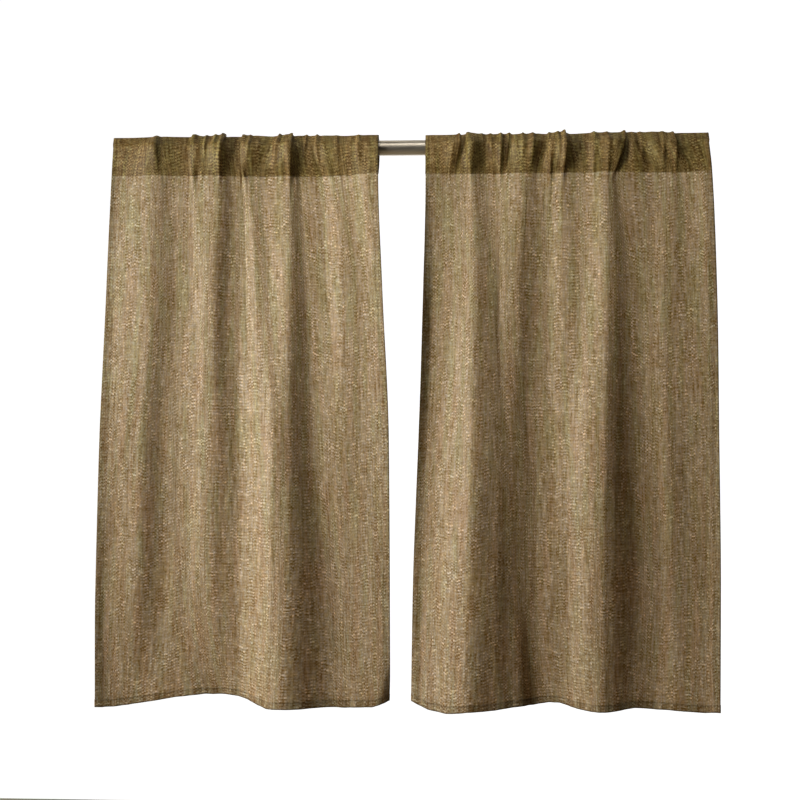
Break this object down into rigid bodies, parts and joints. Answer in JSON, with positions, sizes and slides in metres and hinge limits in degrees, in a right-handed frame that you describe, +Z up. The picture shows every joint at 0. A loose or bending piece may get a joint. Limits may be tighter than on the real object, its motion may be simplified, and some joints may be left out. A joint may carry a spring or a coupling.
{
  "type": "cafe curtain pair with rod",
  "caption": "Short rod-pocket curtain panels in linen-look cloth, hanging in soft uneven folds on one shared round metal rod, for the lower part of a window.",
  "frame": {"origin": "centre of the rod's left end face, seen from the room", "axes": "+X along the rod to the viewer's right, -Y towards the room, +Z up"},
  "size_m": [1.0006, 0.0622, 0.9231],
  "materials": {
    "linen_cloth": "loose plain weave in mixed tan and brown yarn with pale slubs, matt, lightly sheer",
    "brushed_nickel": "satin metal, warm grey"
  },
  "bodies": {
    "root": {"panel_left": "linen_cloth", "panel_right": "linen_cloth", "rod": "brushed_nickel"}
  },
  "joints": []
}
